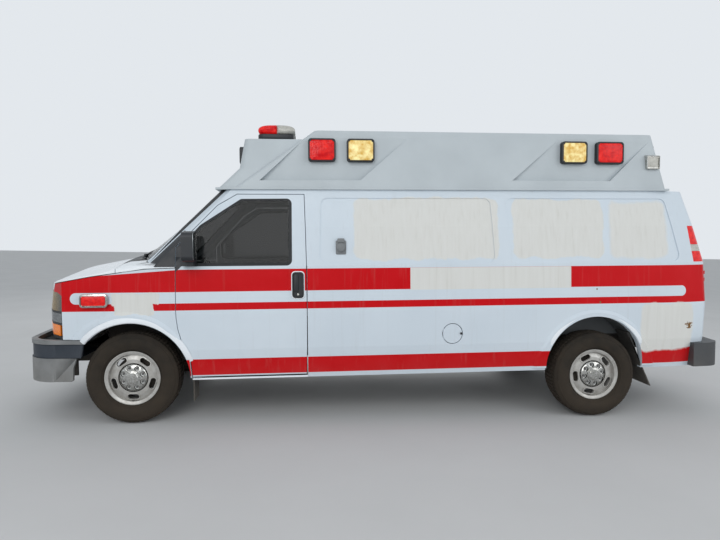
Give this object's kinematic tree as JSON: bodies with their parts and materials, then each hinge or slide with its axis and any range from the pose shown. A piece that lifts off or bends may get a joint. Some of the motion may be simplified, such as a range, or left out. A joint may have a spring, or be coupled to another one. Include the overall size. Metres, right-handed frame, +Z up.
{
  "type": "ambulance",
  "caption": "Van-type ambulance with raised roof, hinged cab, side and rear doors, warning lamps, hollow cab and patient space, on single steel wheels.",
  "frame": {"origin": "on the ground, at mid-length, in the centre plane", "axes": "+X forward, +Y to the vehicle's left, +Z up; the body sits nose-down by its parked rake"},
  "size_m": [6.1302, 2.43, 2.5445],
  "materials": {
    "body_paint": "gloss white enamel with red stripes",
    "roof_gelcoat": "pale grey-white moulded roof",
    "glass": "clear",
    "black_plastic": "grained",
    "grey_plastic": "satin",
    "lamp_lens": "cloudy clear",
    "red_lens": "gloss",
    "bumper_paint": "weathered grey",
    "bumper_dark": "grained",
    "frame_steel": "dull black",
    "engine_iron": "dull",
    "exhaust_steel": "dull",
    "rubber": "matte",
    "tyre": "dusty",
    "wheel_steel": "silver",
    "floor_steel": "satin",
    "trim_plastic": "grained",
    "seat_vinyl": "vinyl",
    "cabinet_board": "laminate"
  },
  "bodies": {
    "root": {"windshield": "glass", "cab_frame": "body_paint", "side_panel_left": "body_paint", "side_panel_right": "body_paint", "rear_frame": "body_paint", "fenders": "body_paint", "raised_roof": "roof_gelcoat", "cowl": "black_plastic", "grille": "grey_plastic", "headlamps": "lamp_lens", "tail_lamps": "red_lens", "warning_lamps": "red_lens", "beacon_bar": "red_lens", "front_bumper": "bumper_paint", "rear_bumper": "bumper_dark", "chassis_frame": "frame_steel", "front_suspension": "frame_steel", "rear_axle": "frame_steel", "leaf_springs": "frame_steel", "powertrain": "engine_iron", "fuel_tank": "black_plastic", "exhaust": "exhaust_steel", "mud_flaps": "rubber", "floor": "floor_steel", "firewall": "floor_steel", "engine_cover": "trim_plastic", "dashboard": "trim_plastic", "seats": "seat_vinyl", "partition": "cabinet_board", "cabinets": "cabinet_board", "bench_pad": "seat_vinyl"},
    "knuckle_left": {"knuckle_left": "frame_steel"},
    "knuckle_right": {"knuckle_right": "frame_steel"},
    "wheel_front_left": {"tyre_front_left": "tyre", "wheel_front_left": "wheel_steel"},
    "wheel_front_right": {"tyre_front_right": "tyre", "wheel_front_right": "wheel_steel"},
    "wheel_rear_left": {"tyre_rear_left": "tyre", "wheel_rear_left": "wheel_steel"},
    "wheel_rear_right": {"tyre_rear_right": "tyre", "wheel_rear_right": "wheel_steel"},
    "front_door_left": {"front_door_left": "body_paint", "front_door_glass_left": "glass", "mirror_left": "black_plastic"},
    "front_door_right": {"front_door_right": "body_paint", "front_door_glass_right": "glass", "mirror_right": "black_plastic"},
    "side_door_front": {"side_door_front": "body_paint", "side_door_glass_front": "glass"},
    "side_door_rear": {"side_door_rear": "body_paint", "side_door_glass_rear": "glass"},
    "rear_door_left": {"rear_door_left": "body_paint", "rear_door_glass_left": "glass"},
    "rear_door_right": {"rear_door_right": "body_paint", "rear_door_glass_right": "glass"},
    "hood": {"hood": "body_paint"},
    "fuel_door": {"fuel_door": "body_paint"},
    "steering_wheel": {"steering_wheel": "trim_plastic"}
  },
  "joints": [
    {"name": "steer_left", "type": "hinge", "parent": "root", "child": "knuckle_left", "pos_m": [2.1425, 0.735, 0.375], "axis": [0, 0, 1], "range_deg": [-35, 35]},
    {"name": "steer_right", "type": "hinge", "parent": "root", "child": "knuckle_right", "pos_m": [2.1425, -0.735, 0.375], "axis": [0, 0, 1], "range_deg": [-35, 35]},
    {"name": "wheel_front_left_spin", "type": "hinge", "parent": "knuckle_left", "child": "wheel_front_left", "pos_m": [2.1425, 0.868, 0.375], "axis": [0, 1, 0], "continuous": true},
    {"name": "wheel_front_right_spin", "type": "hinge", "parent": "knuckle_right", "child": "wheel_front_right", "pos_m": [2.1425, -0.868, 0.375], "axis": [0, 1, 0], "continuous": true},
    {"name": "wheel_rear_left_spin", "type": "hinge", "parent": "root", "child": "wheel_rear_left", "pos_m": [-1.7945, 0.868, 0.375], "axis": [0, 1, 0], "continuous": true},
    {"name": "wheel_rear_right_spin", "type": "hinge", "parent": "root", "child": "wheel_rear_right", "pos_m": [-1.7945, -0.868, 0.375], "axis": [0, 1, 0], "continuous": true},
    {"name": "front_door_left_swing", "type": "hinge", "parent": "root", "child": "front_door_left", "pos_m": [1.79187, 1.006, 1.10706], "axis": [-0.0197, 0, -0.9998], "range_deg": [0, 70]},
    {"name": "front_door_right_swing", "type": "hinge", "parent": "root", "child": "front_door_right", "pos_m": [1.79187, -1.006, 1.10706], "axis": [0.0197, 0, 0.9998], "range_deg": [0, 70]},
    {"name": "side_door_front_swing", "type": "hinge", "parent": "root", "child": "side_door_front", "pos_m": [0.65709, -1.014, 1.12944], "axis": [0.0197, 0, 0.9998], "range_deg": [0, 90]},
    {"name": "side_door_rear_swing", "type": "hinge", "parent": "root", "child": "side_door_rear", "pos_m": [-0.58267, -1.014, 1.15389], "axis": [-0.0197, 0, -0.9998], "range_deg": [0, 110]},
    {"name": "rear_door_left_swing", "type": "hinge", "parent": "root", "child": "rear_door_left", "pos_m": [-2.88225, 0.803, 1.29927], "axis": [-0.0197, 0, -0.9998], "range_deg": [0, 165]},
    {"name": "rear_door_right_swing", "type": "hinge", "parent": "root", "child": "rear_door_right", "pos_m": [-2.88225, -0.803, 1.29927], "axis": [0.0197, 0, 0.9998], "range_deg": [0, 165]},
    {"name": "hood_lift", "type": "hinge", "parent": "root", "child": "hood", "pos_m": [2.28155, 0, 1.33944], "axis": [0, -1, 0], "range_deg": [0, 45]},
    {"name": "fuel_door_swing", "type": "hinge", "parent": "root", "child": "fuel_door", "pos_m": [-0.42573, 0.997, 0.74372], "axis": [-0.0197, 0, -0.9998], "range_deg": [0, 75]},
    {"name": "steering_wheel_turn", "type": "hinge", "parent": "root", "child": "steering_wheel", "pos_m": [1.58829, 0.4, 1.18109], "axis": [-0.8649, 0, 0.502], "range_deg": [-560, 560]}
  ],
  "couplings": [
    {"joint": "steer_right", "follows": "steer_left", "ratio": 1},
    {"joint": "steering_wheel_turn", "follows": "steer_left", "ratio": 16}
  ]
}
